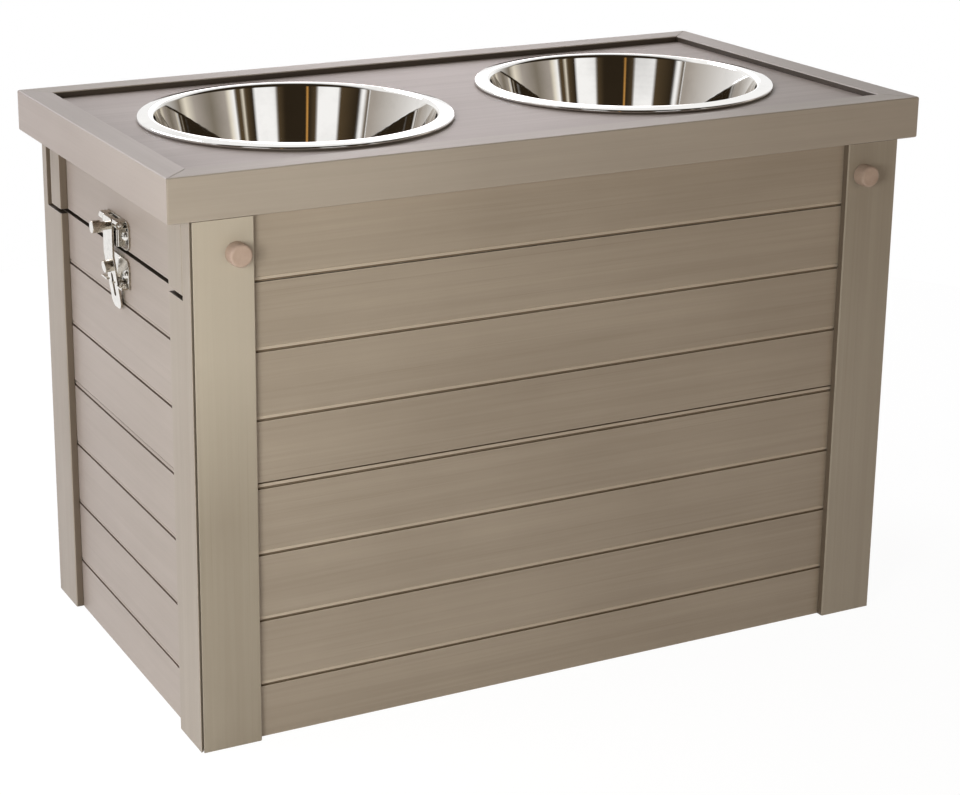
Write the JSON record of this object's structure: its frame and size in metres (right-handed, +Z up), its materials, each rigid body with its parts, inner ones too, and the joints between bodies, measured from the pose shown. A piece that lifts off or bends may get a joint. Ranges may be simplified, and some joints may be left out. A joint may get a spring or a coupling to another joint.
{
  "type": "elevated dog feeder",
  "caption": "Boarded storage box on the floor with a latched, lift-off tray lid that holds inset steel bowls for a dog's food and water.",
  "frame": {"origin": "on the floor, under the middle of the overall box (from the pegs' tips to the tray's back edge)", "axes": "+Z up, +X to the right as seen from the front, +Y towards the back"},
  "size_m": [0.61, 0.3346, 0.418],
  "materials": {
    "board": "moulded wood and polymer board, warm grey, fine lengthwise brushed grain, low sheen",
    "inner_board": "plain wood and polymer board, unfinished, matt",
    "bowl_steel": "polished stainless steel sheet",
    "plated_steel": "nickel-plated pressed steel, lightly worn",
    "screw_steel": "nickel-plated screws",
    "peg_plastic": "pinkish taupe moulded plastic, soft sheen"
  },
  "bodies": {
    "base": {"front_panel_lower": "board", "front_panel_upper": "board", "back_panel_lower": "board", "back_panel_upper": "board", "left_panel_lower": "board", "left_panel_upper": "board", "right_panel_lower": "board", "right_panel_upper": "board", "front_left_post_front": "board", "front_left_post_side": "board", "front_right_post_front": "board", "front_right_post_side": "board", "back_left_post_back": "board", "back_left_post_side": "board", "back_right_post_back": "board", "back_right_post_side": "board", "front_left_batten": "inner_board", "front_right_batten": "inner_board", "back_left_batten": "inner_board", "back_right_batten": "inner_board", "batten_screws": "screw_steel", "floor_board": "inner_board", "front_floor_cleat": "inner_board", "back_floor_cleat": "inner_board", "left_floor_cleat": "inner_board", "right_floor_cleat": "inner_board", "left_peg": "peg_plastic", "right_peg": "peg_plastic", "left_keeper": "plated_steel", "right_keeper": "plated_steel", "keeper_screws": "screw_steel"},
    "lid": {"tray_front_rail": "board", "tray_back_rail": "board", "tray_left_rail": "board", "tray_right_rail": "board", "top_panel": "board", "front_top_cleat": "inner_board", "back_top_cleat": "inner_board", "left_lid_board": "board", "right_lid_board": "board", "front_left_cheek": "board", "back_left_cheek": "board", "front_right_cheek": "board", "back_right_cheek": "board", "left_hasp_plate": "plated_steel", "right_hasp_plate": "plated_steel", "hasp_screws": "screw_steel", "left_hinge_pin": "plated_steel", "right_hinge_pin": "plated_steel"},
    "left_bowl_body": {"left_bowl": "bowl_steel"},
    "right_bowl_body": {"right_bowl": "bowl_steel"},
    "left_arm_body": {"left_latch_arm": "plated_steel", "left_arm_studs": "plated_steel"},
    "right_arm_body": {"right_latch_arm": "plated_steel", "right_arm_studs": "plated_steel"}
  },
  "joints": [
    {"name": "lid_lift", "type": "slide", "parent": "base", "child": "lid", "axis": [0, 0, 1], "range_m": [0, 0.08]},
    {"name": "left_bowl_lift", "type": "slide", "parent": "lid", "child": "left_bowl_body", "axis": [0, 0, 1], "range_m": [0, 0.08]},
    {"name": "right_bowl_lift", "type": "slide", "parent": "lid", "child": "right_bowl_body", "axis": [0, 0, 1], "range_m": [0, 0.08]},
    {"name": "left_latch", "type": "hinge", "parent": "lid", "child": "left_arm_body", "pos_m": [-0.2886, 0.00325, 0.351], "axis": [0, 1, 0], "range_deg": [0, 96]},
    {"name": "right_latch", "type": "hinge", "parent": "lid", "child": "right_arm_body", "pos_m": [0.2886, 0.00325, 0.351], "axis": [0, -1, 0], "range_deg": [0, 96]}
  ],
  "couplings": [
    {"joint": "left_latch", "follows": "lid_lift", "rad_per_m": 20.94},
    {"joint": "right_latch", "follows": "lid_lift", "rad_per_m": 20.94}
  ]
}
